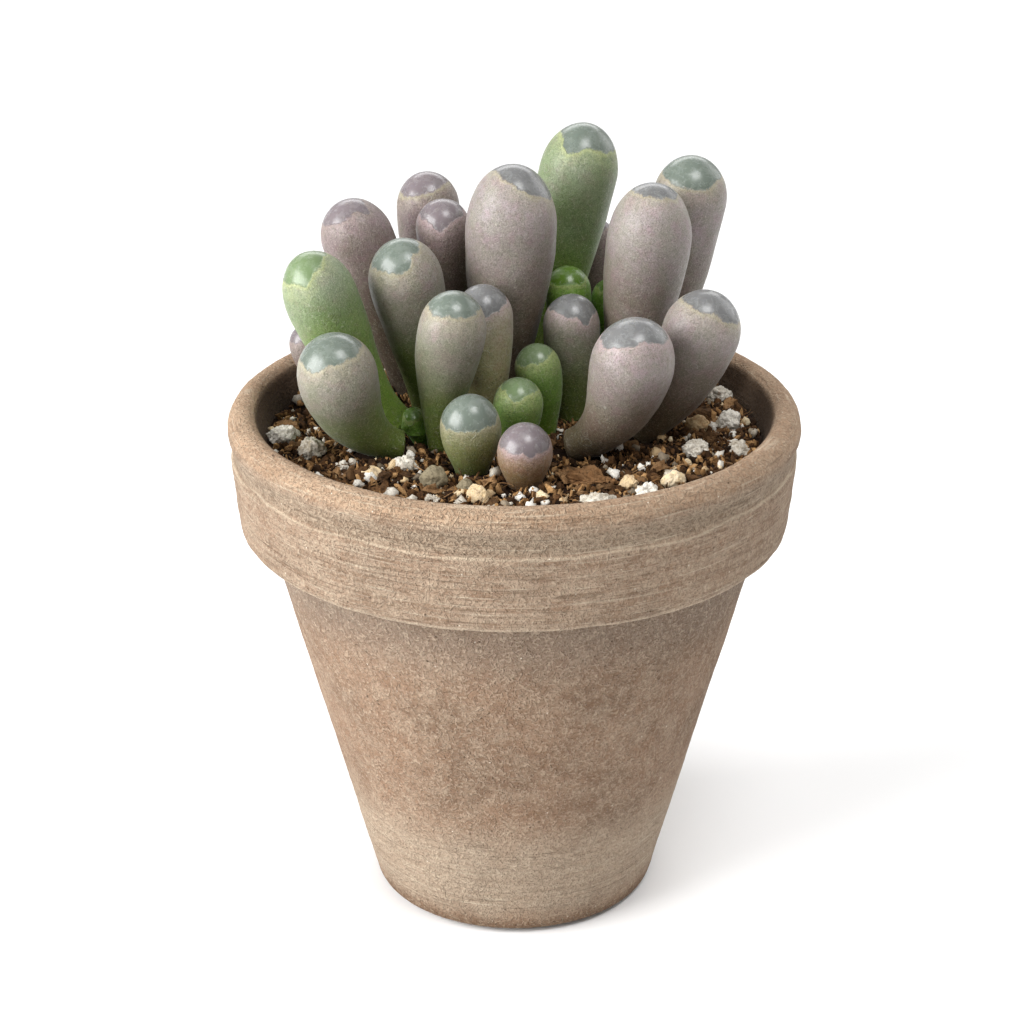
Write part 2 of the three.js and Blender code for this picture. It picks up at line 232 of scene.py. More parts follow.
class Tree:
    """Adds nodes to a tree. An input is a plain value or another node's output."""

    def __init__(self, tree):
        self.tree = tree

    def feed(self, socket, value):
        if isinstance(value, bpy.types.NodeSocket):
            self.tree.links.new(value, socket)
        elif hasattr(socket.default_value, "__len__") and not hasattr(value, "__len__"):
            socket.default_value = [value] * len(socket.default_value)
        else:
            socket.default_value = value

    def node(self, kind, inputs=None, **settings):
        made = self.tree.nodes.new(kind)
        for key, value in settings.items():
            setattr(made, key, value)
        for key, value in (inputs or {}).items():
            self.feed(made.inputs[key], value)
        return made

    def math(self, operation, *values):
        inputs = dict(enumerate(values))
        return self.node("ShaderNodeMath", inputs, operation=operation).outputs[0]

    def mix(self, share, a, b, blend="MIX"):
        """Two colours mixed."""
        inputs = {0: share, 6: a, 7: b}
        settings = {"data_type": "RGBA", "blend_type": blend, "clamp_factor": True}
        return self.node("ShaderNodeMix", inputs, **settings).outputs[2]

    def between(self, share, a, b):
        """A number part of the way from a to b."""
        return self.node("ShaderNodeMix", {0: share, 2: a, 3: b}, data_type="FLOAT").outputs[0]

    def smooth(self, value, low, high, to_low=0.0, to_high=1.0):
        """A soft step from to_low to to_high as value goes from low to high."""
        inputs = {0: value, 1: low, 2: high, 3: to_low, 4: to_high}
        return self.node(
            "ShaderNodeMapRange", inputs, interpolation_type="SMOOTHSTEP"
        ).outputs[0]

    def stretch(self, vector, factors):
        inputs = {0: vector, 1: factors}
        return self.node("ShaderNodeVectorMath", inputs, operation="MULTIPLY").outputs[0]

    def shift(self, vector, by):
        return self.node("ShaderNodeVectorMath", {0: vector, 1: by}, operation="ADD").outputs[0]

    def grain(self, place, size, detail=2.0, rough=0.5, warp=0.0):
        """Cloudy noise about 0.5 whose lumps are size millimetres across."""
        inputs = {"Vector": place, "Scale": 1 / size, "Detail": detail, "Roughness": rough}
        inputs["Distortion"] = warp
        return self.node("ShaderNodeTexNoise", inputs).outputs[0]

    def dots(self, place, spacing, radius, share=1.0):
        """Round dots: 1 at the middle of a dot, on a share of the cells."""
        cells = self.node("ShaderNodeTexVoronoi", {"Vector": place, "Scale": 1 / spacing})
        round_dot = self.smooth(cells.outputs["Distance"], radius, radius * 0.4)
        pick = self.node("ShaderNodeSeparateColor", {0: cells.outputs["Color"]}).outputs[0]
        return self.math("MULTIPLY", round_dot, self.math("LESS_THAN", pick, share))

    def loops(self, place, spacing, radius, width, share=1.0):
        """Thin broken circles, radius and width in shares of their spacing, on a share of cells."""
        cells = self.node("ShaderNodeTexVoronoi", {"Vector": place, "Scale": 1 / spacing})
        away = self.math("ABSOLUTE", self.math("SUBTRACT", cells.outputs["Distance"], radius))
        pick = self.node("ShaderNodeSeparateColor", {0: cells.outputs["Color"]}).outputs[0]
        broken = self.smooth(self.grain(place, spacing * 0.4, 1), 0.44, 0.5)
        line = self.math("MULTIPLY", self.smooth(away, width, 0.0), broken)
        return self.math("MULTIPLY", line, self.math("LESS_THAN", pick, share))

    def worms(self, place, size, width, share):
        """Short thin wandering lines, on a share of the surface."""
        hills = self.grain(place, size, 1.0, 0.4, 0.6)
        line = self.smooth(self.math("ABSOLUTE", self.math("SUBTRACT", hills, 0.5)), width, 0.0)
        patches = self.grain(self.shift(place, (7.3, 3.1, 5.7)), size * 0.55, 1.0)
        return self.math("MULTIPLY", line, self.smooth(patches, 1 - share, 1.03 - share))


def new_material(name):
    """A material with its tree and its surface shader."""
    material = bpy.data.materials.new(name)
    material.use_nodes = True
    tree = Tree(material.node_tree)
    surface = next(n for n in material.node_tree.nodes if n.type == "BSDF_PRINCIPLED")
    return material, tree, surface


def object_millimetres(tree):
    coordinates = tree.node("ShaderNodeTexCoord").outputs["Object"]
    return tree.stretch(coordinates, (1000, 1000, 1000))


def attribute(tree, name, output):
    return tree.node("ShaderNodeAttribute", attribute_name=name).outputs[output]


def bump(tree, surface, height, depth, strength=1.0):
    """Relief from a height of 0 to 1 that stands for depth millimetres."""
    inputs = {"Strength": strength, "Distance": depth * MM, "Height": height}
    tree.feed(surface.inputs["Normal"], tree.node("ShaderNodeBump", inputs).outputs[0])


# ---- helpers for meshes ----------------------------------------------------------------------


def grid_faces(rows, sides, closed_rows=False):
    """Quads of a grid of points that closes round its sides, and round its rows if asked."""
    faces = []
    last = rows if closed_rows else rows - 1
    for row in range(last):
        below, above = row * sides, (row + 1) % rows * sides
        for side in range(sides):
            onward = (side + 1) % sides
            faces.append((below + side, below + onward, above + onward, above + side))
    return faces


def add_piece(name, points, faces, material, stands_for=()):
    """A smooth mesh piece from points in millimetres, riding on the body."""
    mesh = bpy.data.meshes.new(name)
    mesh.from_pydata([tuple(p) for p in np.asarray(points) * MM], [], faces)
    mesh.materials.append(material)
    mesh.shade_smooth()
    mesh.update()
    piece = bpy.data.objects.new(name, mesh)
    bpy.context.scene.collection.objects.link(piece)
    settle(piece, stands_for)
    return piece


def settle(piece, stands_for=()):
    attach(piece, BODY)
    if stands_for:
        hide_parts(*stands_for)


def store(piece, name, kind, values):
    """Keeps one value or colour for each corner of a piece."""
    field = "color" if kind == "FLOAT_COLOR" else "value"
    layer = piece.data.attributes.new(name, kind, "POINT")
    layer.data.foreach_set(field, np.asarray(values, np.float32).ravel())


def rough(point, size, octaves=3):
    """Smooth noise about 0 at a point in millimetres."""
    return noise.fractal(Vector(point) / size, 1.0, 2.0, octaves)


def ease(value, low, high):
    t = np.clip((value - low) / (high - low), 0, 1)
    return t * t * (3 - 2 * t)


# ---- pot -------------------------------------------------------------------------------------

POT_SIDES = 360
SEEN_STEP = 0.42
HIDDEN_STEP = 2.5


def clay_material(look):
    """Bare clay with throwing lines, worn marks, lime bloom and painted shade on the inner wall."""
    material, t, surface = new_material("weathered_clay")
    place = object_millimetres(t)
    height = t.node("ShaderNodeSeparateXYZ", {0: place}).outputs[2]
    # inside marks the pot's inner wall near the top, which gets painted shade further down
    inner = attribute(t, "inside", "Fac")
    cloud = t.grain(place, 11, 4, 0.6)
    mottle = t.grain(place, 2.2, 5, 0.68)
    streak = t.grain(t.stretch(place, (0.14, 0.14, 1.5)), 1.0, 4, 0.6)
    hairline = t.grain(t.stretch(place, (0.09, 0.09, 3.4)), 0.9, 3, 0.6)
    speckle = t.grain(place, 0.32, 3, 0.7)

    def zone(low, low_full, high_full, high):
        """1 between two heights, fading out below and above them."""
        return t.math("MULTIPLY", t.smooth(height, low, low_full), t.smooth(height, high, high_full))

    ledge = look.ledge_height / MM
    wander = t.math("MULTIPLY", t.math("SUBTRACT", t.grain(place, 9, 1), 0.5), 1.2)
    rise = t.math("SUBTRACT", t.math("ADD", height, wander), ledge)
    ridge = t.math("MULTIPLY", t.smooth(rise, -0.28, -0.02), t.smooth(rise, 0.3, 0.04))
    ridge = t.math("MULTIPLY", ridge, t.smooth(streak, 0.3, 0.46, 0.35, 1))
    collar, lit_lip = t.smooth(height, 49.3, 49.9), t.smooth(height, 62.4, 63.8)
    band = zone(ledge, ledge + 0.6, 61.8, 62.8)
    foot = zone(1.5, 5, 11, 20)
    damp = zone(38, 47, 49.2, 49.6)
    turned = t.math("MAXIMUM", collar, foot)

    dark, plain, bloom = (*look.dark_clay, 1), (*look.clay, 1), (*look.bloom, 1)
    clay = t.mix(t.smooth(cloud, 0.34, 0.62, 0.25, 1), dark, plain)
    clay = t.mix(t.smooth(mottle, 0.38, 0.68, 0.0, 0.5), clay, bloom)
    clay = t.mix(t.smooth(mottle, 0.46, 0.3, 0.0, 0.35), clay, (*srgb("84674f"), 1))
    clay = t.mix(t.math("MULTIPLY", turned, t.smooth(streak, 0.4, 0.66, 0.15, 0.65)), clay, bloom)
    clay = t.mix(t.math("MULTIPLY", turned, t.smooth(streak, 0.42, 0.3, 0.0, 0.32)), clay, dark)
    # painted light: the upward-facing top of the pot is lighter, as light from above falls on it
    zones = ((foot, 0.4, "b5a692"), (band, 0.5, "7d6d5b"),
             (lit_lip, 0.55, "b09276"), (damp, 0.5, "73695f"))
    for layer, share, code in zones:
        clay = t.mix(t.math("MULTIPLY", layer, share), clay, (*srgb(code), 1))
    clay = t.mix(zone(49.4, 49.6, 50.0, 50.4), clay, (*srgb("b3a08b"), 1))
    clay = t.mix(t.smooth(height, 2.8, 1.0, 0, 0.7), clay, (*srgb("6b523d"), 1))
    clay = t.mix(t.smooth(speckle, 0.42, 0.7, 0.0, 0.45), clay, (*srgb("604a37"), 1))
    clay = t.mix(t.smooth(speckle, 0.42, 0.26, 0.0, 0.4), clay, (*srgb("b7a48e"), 1))

    marks = t.worms(place, 0.75, 0.11, 0.56)
    grooves = t.worms(t.shift(place, (11, 4, 8)), 0.7, 0.12, 0.5)
    band_marks = t.math("MULTIPLY", band, t.worms(t.shift(place, (2, 6, 1)), 0.9, 0.12, 0.9))
    marks = t.math("MAXIMUM", marks, band_marks)
    scratches = t.math("MULTIPLY", t.smooth(hairline, 0.58, 0.66), turned)
    cuts = t.math("MULTIPLY", t.smooth(hairline, 0.4, 0.33), turned)
    pits = t.dots(place, 1.5, 0.12, 0.5)
    specks = t.dots(t.shift(place, (3, 5, 9)), 1.6, 0.08, 0.45)
    for layer, share, code in (
        (marks, 0.26, "cdbba3"),
        (grooves, 0.13, "5d4734"),
        (scratches, 0.36, "d3c2ab"),
        (cuts, 0.3, "5d4734"),
        (ridge, 0.42, "cdbba3"),
        (specks, 0.7, "e6dccb"),
        (pits, 0.6, "4a3524"),
        # painted shade: the inner wall darkened to a deep brown, as shade in the pot's hollow
        (inner, 0.85, "3b2a1b"),
    ):
        clay = t.mix(t.math("MULTIPLY", layer, share), clay, (*srgb(code), 1))
    t.feed(surface.inputs["Base Color"], clay)
    surface.inputs["Roughness"].default_value = 0.88
    surface.inputs["Specular IOR Level"].default_value = 0.25

    raised = t.math("MULTIPLY", speckle, 0.75)
    for layer, share in ((marks, 0.55), (scratches, 0.3), (streak, 0.6), (ridge, 0.5), (mottle, 0.6)):
        raised = t.math("ADD", raised, t.math("MULTIPLY", layer, share))
    for layer, share in ((grooves, 0.6), (cuts, 0.4), (pits, 0.8)):
        raised = t.math("SUBTRACT", raised, t.math("MULTIPLY", layer, share))
    bump(t, surface, raised, 0.2, 1.0)
    return material


def fine_section():
    """The pot's section at close steps where it shows, with its corners eased."""
    loop = np.vstack([SECTION, SECTION[:1]])
    soil_line = SOIL_TOP - 1
    points = []
    for start, end in zip(loop[:-1], loop[1:]):
        inside = start[0] < inner_radius(start[1]) + 0.1 or start[1] < 0.1
        step = HIDDEN_STEP if inside and max(start[1], end[1]) < soil_line else SEEN_STEP
        count = max(1, round(np.linalg.norm(end - start) / step))
        if inside and start[1] > soil_line > end[1]:
            shares = np.concatenate([np.linspace(0, 0.1, 14)[:-1], np.linspace(0.1, 1, 20)[:-1]])
        else:
            shares = np.arange(count) / count
        points.extend(start + (end - start) * share for share in shares)
    points = np.array(points)
    for _ in range(2):
        points = 0.5 * points + 0.25 * (np.roll(points, 1, 0) + np.roll(points, -1, 0))
    points[:, 1] = np.maximum(points[:, 1], 0)
    return points


def pot_relief(radius, height, angle, look):
    """How far the clay stands proud of its turned shape, in millimetres."""
    x, y = math.cos(angle), math.sin(angle)
    dent = look.dent / MM
    ledge = look.ledge_height / MM + 0.5 * noise.noise(Vector((2 * x, 2 * y, 3)))
    broad = dent * rough((radius * x, radius * y, height), 13, 2)
    if radius < inner_radius(height) + 0.4:
        return 0.5 * broad
    rings = 0.05 * noise.noise(Vector((1.5 * x, 1.5 * y, height * 1.9)))
    fine = 0.035 * rough((radius * x, radius * y, height), 1.6, 2)
    collar = ease(height, 50, 51.5)
    hollow = -0.42 * ease(height, ledge - 0.2, ledge + 0.25) * ease(height, ledge + 3.4, ledge + 1)
    worn = -0.14 * max(0, noise.noise(Vector((9 * x, 9 * y, 7)))) * ease(height, 51.2, 50.2)
    worn *= ease(height, 49.2, 49.8)
    return broad - dent * 0.6 + rings * (0.5 + collar) + fine + collar * hollow + worn


def build_pot(look):
    section = fine_section()
    following = np.roll(section, -1, 0) - np.roll(section, 1, 0)
    outward = np.stack([following[:, 1], -following[:, 0]], -1)
    outward /= np.linalg.norm(outward, axis=1)[:, None]
    points, inside = [], []
    for (radius, height), (out, up) in zip(section, outward):
        resting = ease(height, 0.2, 2.0)
        within = radius < inner_radius(height) + 0.4 and height > 1
        # inside marks the inner wall, which the clay darkens there as painted shade
        inside += [float(within * ease(height, 64.6, 63.9))] * POT_SIDES
        for side in range(POT_SIDES):
            angle = 2 * math.pi * side / POT_SIDES
            proud = pot_relief(radius, height, angle, look) * resting
            r = radius + out * proud
            points.append((r * math.cos(angle), r * math.sin(angle), height + up * proud))
    faces = grid_faces(len(section), POT_SIDES, closed_rows=True)
    piece = add_piece("pot_clay", points, faces, clay_material(look), ["pot"])
    store(piece, "inside", "FLOAT", inside)


# ---- leaves ----------------------------------------------------------------------------------

# Skin colours from the shoulder down to the foot, and those of the window and its border. The skin's
# darkening towards the foot is partly painted shade among the crowded leaves; its shift in hue is its own.
SKINS = {
    "mauve": "a89c9c 948884 786858 685840",
    "mauve_green": "a89c98 8c8878 708040 607020",
    "sage": "989880 888860 788040 687028",
    "green": "98a870 80a050 709830 709020",
    "fresh": "949c84 809460 80a040 90b048",
    "bud": "88b840 78b030 70a028 609020",
    "rosy": "a88890 a08068 987850 906840",
    "dusky": "988488 786860 605040 504030",
    "pale": "c0b0b0 a8a080 b0a878 a09860",
}
WINDOWS = {"grey": "888888", "grey_green": "808c80", "green": "88a070", "bright": "709830",
           "mauve": "908488"}
BORDERS = {"tan": "b8b090", "lime": "b8c080", "pink": "c0a8a8", "brown": "a09088"}

# Each leaf's finish. skin, window and border name its colours. depth is how far the window reaches
# down the front and back how far down the back, in millimetres over the skin; slant tips the border
# down on the right, sides lowers it on both sides, and notch is a point of the border: its turn from
# the front in degrees, its depth in millimetres and its half width in degrees. crinkle is the height
# of a young leaf's wrinkles, as a share of its girth.
LEAF_FINISH = {
    "leaf_01": {"skin": "rosy", "window": "mauve", "border": "pink",
                "depth": 3.7, "back": 3.2, "sides": 0.3},
    "leaf_02": {"skin": "sage", "window": "grey_green", "border": "tan",
                "depth": 4.6, "back": 3.4, "slant": -0.3, "sides": 0.3},
    "leaf_03": {"skin": "green", "window": "green", "border": "lime",
                "depth": 2.5, "back": 2.4, "notch": (-14, 0.9, 34)},
    "leaf_04": {"skin": "green", "window": "green", "border": "lime",
                "depth": 3.0, "back": 2.6, "slant": -0.3},
    "leaf_05": {"skin": "mauve_green", "window": "grey_green", "border": "tan",
                "depth": 4.0, "back": 3.6, "slant": -0.5, "sides": 0.5, "notch": (-34, 0.9, 30)},
    "leaf_06": {"skin": "fresh", "window": "green", "border": "lime",
                "depth": 3.6, "back": 3.2, "slant": -0.9, "notch": (-6, 1.1, 26)},
    "leaf_07": {"skin": "bud", "window": "bright", "border": "lime",
                "depth": 1.4, "back": 1.2, "crinkle": 0.12},
    "leaf_08": {"skin": "mauve_green", "window": "grey_green", "border": "tan",
                "depth": 3.9, "back": 3.0, "slant": -0.5, "sides": 0.3},
    "leaf_09": {"skin": "pale", "window": "grey", "border": "pink",
                "depth": 5.4, "back": 3.6, "slant": -1.0},
    "leaf_10": {"skin": "mauve_green", "window": "grey_green", "border": "tan",
                "depth": 4.0, "back": 3.2, "slant": -0.9, "notch": (0, 1.1, 32)},
    "leaf_11": {"skin": "dusky", "window": "mauve", "border": "brown",
                "depth": 3.6, "back": 3.0, "slant": -0.4, "notch": (52, 1.4, 20)},
    "leaf_12": {"skin": "dusky", "window": "mauve", "border": "brown", "depth": 3.0, "back": 2.4},
    "leaf_13": {"skin": "mauve", "window": "grey", "border": "pink",
                "depth": 3.4, "back": 3.4, "slant": -0.7, "sides": 1.3},
    "leaf_14": {"skin": "mauve", "window": "grey", "border": "tan",
                "depth": 3.8, "back": 3.4, "slant": 0.4, "sides": 0.8},
    "leaf_15": {"skin": "mauve_green", "window": "grey", "border": "pink",
                "depth": 3.7, "back": 3.2, "slant": 0.2, "sides": 0.2, "notch": (26, 1.1, 32)},
    "leaf_16": {"skin": "mauve", "window": "grey", "border": "tan",
                "depth": 2.5, "back": 2.8, "sides": 0.5},
    "leaf_17": {"skin": "mauve", "window": "grey_green", "border": "tan",
                "depth": 5.0, "back": 3.6, "slant": -0.7, "notch": (0, 0.9, 44)},
    "leaf_18": {"skin": "mauve", "window": "grey", "border": "tan",
                "depth": 3.6, "back": 4.4, "slant": 1.9, "sides": 0.7},
    "leaf_19": {"skin": "bud", "window": "bright", "border": "lime", "depth": 3.2, "back": 2.6},
    "leaf_20": {"skin": "fresh", "window": "grey_green", "border": "lime",
                "depth": 4.6, "back": 4.2, "slant": 0.3, "notch": (-30, 1.7, 26)},
    "leaf_21": {"skin": "bud", "window": "bright", "border": "lime", "depth": 2.2, "back": 2.0},
    "leaf_22": {"skin": "dusky", "window": "mauve", "border": "pink",
                "depth": 3.6, "back": 3.0, "notch": (-4, 1.0, 32)},
    "leaf_23": {"skin": "dusky", "window": "mauve", "border": "tan",
                "depth": 4.2, "back": 3.2, "slant": -0.8},
    "leaf_24": {"skin": "dusky", "window": "mauve", "border": "brown", "depth": 3.0, "back": 2.6},
    "leaf_25": {"skin": "mauve_green", "window": "grey_green", "border": "tan",
                "depth": 3.4, "back": 4.0},
    "leaf_26": {"skin": "mauve", "window": "grey_green", "border": "tan", "depth": 3.0, "back": 3.6},
    "leaf_27": {"skin": "sage", "window": "grey_green", "border": "tan", "depth": 2.6, "back": 3.0},
    "leaf_28": {"skin": "mauve", "window": "grey", "border": "pink", "depth": 2.8, "back": 3.0},
}
FLESH_SHADE, PANE_SHADE = 0.78, 0.6  # how dark each colour of the table is used
FLESH_SHARES = (1.0, 0.66, 0.34, 0.06)  # of the leaf's length, where each flesh colour is full


def leaf_material():
    """Waxy skin, finely mottled and pitted, with a glossy clear window at the crown."""
    material, t, surface = new_material("leaf_skin")
    place = object_millimetres(t)
    window = attribute(t, "window", "Fac")
    flesh = attribute(t, "flesh", "Color")
    clear = attribute(t, "clear", "Color")
    rim = attribute(t, "rim", "Color")

    def tinted(colour, factors, share=1.0):
        """A colour multiplied by factors for red, green and blue."""
        return t.mix(share, colour, (*factors, 1), "MULTIPLY")

    wander = t.math("SUBTRACT", t.grain(place, 1.3, 2), 0.5)
    teeth = t.math("SUBTRACT", t.grain(place, 0.28, 3, 0.6), 0.5)
    edge = t.math("ADD", window, t.math("MULTIPLY", wander, 1.0))
    edge = t.math("ADD", edge, t.math("MULTIPLY", teeth, 0.6))
    inside = t.smooth(edge, -0.12, 0.26)
    outside = t.math("SUBTRACT", 1, inside)
    fringe = t.math("MULTIPLY", t.smooth(edge, -0.75, 0.0), outside)
    glow = t.math("MULTIPLY", t.smooth(edge, -3.0, -0.2), outside)

    cloud = t.grain(place, 2.4, 3, 0.6)
    patches = t.grain(t.shift(place, (5, 1, 8)), 1.5, 4, 0.65)
    mottle = t.grain(place, 0.6, 4, 0.66)
    speckle = t.grain(place, 0.16, 2, 0.6)
    skin = t.mix(t.smooth(cloud, 0.35, 0.65, 0.0, 0.6), flesh, tinted(flesh, (0.88, 1.0, 0.82)))
    skin = t.mix(t.smooth(patches, 0.46, 0.66, 0.0, 0.6), skin, tinted(skin, (1.02, 0.85, 0.96)))
    skin = t.mix(t.smooth(mottle, 0.42, 0.68, 0.0, 0.5), skin, tinted(skin, (0.74, 0.74, 0.68)))
    skin = t.mix(t.math("MULTIPLY", glow, t.smooth(mottle, 0.7, 0.35, 0.05, 0.34)), skin, rim)
    skin = t.mix(t.math("MULTIPLY", fringe, 0.55), skin, rim)
    skin = t.mix(t.smooth(speckle, 0.45, 0.68, 0.0, 0.85), skin, tinted(skin, (0.6, 0.6, 0.54)))
    skin = t.mix(t.smooth(speckle, 0.43, 0.28, 0.0, 0.36), skin, (*srgb("b9b5a6"), 1))

    light_dots = t.dots(place, 0.9, 0.11, 0.4)
    dark_dots = t.dots(t.shift(place, (4, 9, 2)), 1.1, 0.1, 0.4)
    threads = t.worms(place, 1.1, 0.035, 0.5)
    seams = t.worms(t.shift(place, (9, 2, 6)), 0.9, 0.05, 0.42)
    loops = t.loops(t.shift(place, (6, 3, 1)), 2.4, 0.22, 0.026, 0.45)
    loops = t.math("MULTIPLY", loops, t.smooth(cloud, 0.4, 0.55))
    skin = t.mix(t.math("MULTIPLY", light_dots, 0.4), skin, (*srgb("c9c6b8"), 1))
    skin = t.mix(t.math("MULTIPLY", dark_dots, 0.45), skin, (*srgb("3b3426"), 1))
    skin = t.mix(t.math("MULTIPLY", threads, 0.13), skin, (*srgb("c4c1b4"), 1))
    skin = t.mix(t.math("MULTIPLY", loops, 0.34), skin, (*srgb("c4c1b4"), 1))
    skin = t.mix(t.math("MULTIPLY", seams, 0.22), skin, tinted(skin, (0.5, 0.5, 0.45)))

    haze = t.smooth(t.grain(place, 1.1, 4, 0.65), 0.4, 0.7, 0.0, 0.3)
    pane = t.mix(haze, clear, t.mix(0.35, clear, (*srgb("b4b7b3"), 1)))
    pane = t.mix(t.smooth(edge, 1.5, 0.0, 0.0, 0.4), pane, tinted(pane, (0.72, 0.73, 0.7)))
    pane = t.mix(t.smooth(mottle, 0.5, 0.68, 0.0, 0.25), pane, tinted(pane, (0.78, 0.79, 0.76)))
    pane = t.mix(t.math("MULTIPLY", light_dots, 0.2), pane, (*srgb("d8dcd6"), 1))
    pane = t.mix(t.math("MULTIPLY", threads, 0.1), pane, (*srgb("d8dcd6"), 1))
    t.feed(surface.inputs["Base Color"], t.mix(inside, skin, pane))
    dull = t.smooth(mottle, 0.3, 0.7, 0.5, 0.64)
    t.feed(surface.inputs["Roughness"], t.between(inside, dull, t.smooth(haze, 0, 0.3, 0.25, 0.32)))
    surface.inputs["Specular IOR Level"].default_value = 0.45
    surface.inputs["Subsurface Weight"].default_value = 0.18
    surface.inputs["Subsurface Radius"].default_value = (1.0, 0.85, 0.55)
    surface.inputs["Subsurface Scale"].default_value = 1.0 * MM
    surface.inputs["Coat Weight"].default_value = 0.2
    surface.inputs["Coat Roughness"].default_value = 0.3
    surface.inputs["Sheen Weight"].default_value = 0.12
    surface.inputs["Sheen Roughness"].default_value = 0.35

    raised = t.math("MULTIPLY", speckle, 0.45)
    for layer, share in ((mottle, 0.7), (threads, 0.3), (loops, 0.5), (light_dots, 0.3)):
        raised = t.math("ADD", raised, t.math("MULTIPLY", layer, share))
    for layer, share in ((seams, 0.35), (dark_dots, 0.3)):
        raised = t.math("SUBTRACT", raised, t.math("MULTIPLY", layer, share))
    raised = t.math("MULTIPLY", raised, t.math("SUBTRACT", 1.08, inside))
    raised = t.math("ADD", raised, t.math("MULTIPLY", fringe, 0.2))
    bump(t, surface, raised, 0.14, 0.8)
    return material


def border_depth(finish, angle, seed):
    """How far down the skin from the crown's tip the window ends, at a turn from the front."""
    front, back = finish["depth"], finish["back"]
    depth = (front + back) / 2 + (front - back) / 2 * math.cos(angle)
    depth += finish.get("slant", 0) * math.sin(angle)
    depth += finish.get("sides", 0) * math.sin(angle) ** 2
    if "notch" in finish:
        at, deep, half = finish["notch"]
        away = abs((math.degrees(angle) - at + 180) % 360 - 180)
        depth += deep * max(0, 1 - away / half)
    around = Vector((math.cos(angle), math.sin(angle), seed))
    return depth + 0.5 * noise.noise(2.2 * around) + 0.22 * noise.noise(6 * around)


def build_leaf(name, look, material):
    line, finish = LEAVES[name], LEAF_FINISH[name]
    seed = int(name[-2:])
    body = np.linspace(0, line.widest, look.body_rows, endpoint=False)
    over = np.sin(np.linspace(0, math.pi / 2, look.dome_rows, endpoint=False))
    shares = np.concatenate([body, line.widest + (1 - line.widest) * over])
    girths = line.girth(shares)
    codes = SKINS[finish["skin"]].split()
    stops = [tuple(FLESH_SHADE * part for part in srgb(code)) for code in codes]
    steps = np.hypot(np.diff(shares, append=1) * line.length, np.diff(girths, append=0))
    from_tip = np.cumsum(steps[::-1])[::-1]

    points, windows, flesh = [], [], []
    for share, girth, depth in zip(shares, girths, from_tip):
        centre = line.centre(share)
        along, front, side = line.frame_at(share)
        for k in range(look.sides):
            angle = 2 * math.pi * k / look.sides
            out = math.cos(angle) * front + math.sin(angle) * side
            at = centre + girth * out
            uneven = 0.5 * math.cos(2 * angle + seed) + 0.3 * math.cos(3 * angle + 2 * seed)
            uneven += 1.6 * rough(at + seed, 6.5, 2)
            crinkle = finish.get("crinkle", 0) * (1 - 3 * abs(rough(at, 2.6, 2)))
            points.append(at + out * girth * (look.swell * uneven + crinkle * (share > 0.1)))
            windows.append(border_depth(finish, angle, seed) - depth)
            # the flesh colour darkens towards the foot, partly painted shade among the crowded leaves
            shade = share + 0.12 * rough(at + 40, 5, 2)
            flesh.append([np.interp(shade, FLESH_SHARES[::-1], c[::-1]) for c in zip(*stops)] + [1])
    rows, sides = len(shares), look.sides
    faces = grid_faces(rows, sides)
    for pole, row, share in ((rows * sides, 0, 0.0), (rows * sides + 1, rows - 1, 1.0)):
        points.append(line.centre(share))
        windows.append(border_depth(finish, 0, seed) if row else -line.length)
        flesh.append([*stops[0 if row else -1], 1])
        for k in range(sides):
            pair = (row * sides + k, row * sides + (k + 1) % sides)
            faces.append((*pair, pole) if row else (*pair[::-1], pole))
    piece = add_piece(f"{name}_skin", points, faces, material, [name])
    store(piece, "window", "FLOAT", windows)
    store(piece, "flesh", "FLOAT_COLOR", flesh)
    pane, border = WINDOWS[finish["window"]], BORDERS[finish["border"]]
    for layer, code, shade in (("clear", pane, PANE_SHADE), ("rim", border, FLESH_SHADE)):
        tone = [shade * part for part in srgb(code)]
        store(piece, layer, "FLOAT_COLOR", [(*tone, 1)] * len(points))


# ---- soil surface ----------------------------------------------------------------------------

SOIL_RINGS = 96
SOIL_SIDES = 260
WALL_GAP = 0.15  # millimetres left between the soil's edge and the pot
FAR_FROM_LEAVES = 99.0


def earthy_material(name, tones, size, depth, rough_value=0.92):
    """A crumbly stuff: tones are its dark, middle and light colours, varied from grain to grain."""
    material, t, surface = new_material(name)
    place = object_millimetres(t)
    tint = attribute(t, "tint", "Fac")
    coarse = t.grain(place, size, 4, 0.65)
    fine = t.grain(place, size / 5, 3, 0.6)
    dark, middle, light = [(*srgb(code), 1) for code in tones]
    body = t.mix(t.smooth(t.math("ADD", tint, t.math("MULTIPLY", coarse, 0.6)), 0.2, 1.1), dark, light)
    body = t.mix(t.smooth(coarse, 0.35, 0.65, 0.1, 0.8), body, middle)
    body = t.mix(t.smooth(fine, 0.5, 0.72, 0.0, 0.6), body, dark)
    t.feed(surface.inputs["Base Color"], body)
    surface.inputs["Roughness"].default_value = rough_value
    surface.inputs["Specular IOR Level"].default_value = 0.2
    raised = t.math("ADD", t.math("MULTIPLY", coarse, 0.6), t.math("MULTIPLY", fine, 0.4))
    bump(t, surface, raised, depth, 1.0)
    return material


def soil_height(x, y, look):
    crumbs = 0.55 * rough((x, y, 0), 3.2, 3) + 0.3 * abs(rough((x, y, 9), 1.1, 2))
    return SOIL_TOP + look.level / MM + look.clumps / MM * crumbs


def leaf_clearance(points):
    """The distance from each point to the nearest leaf's skin, less than 0 inside one."""
    nearest = np.full(len(points), FAR_FROM_LEAVES)
    for line in LEAVES.values():
        shares = np.linspace(0, 1, 40)
        centres, girths = line.centre(shares), line.girth(shares)
        gaps = np.linalg.norm(points[:, None] - centres[None], axis=2) - girths[None]
        nearest = np.minimum(nearest, gaps.min(1))
    return nearest


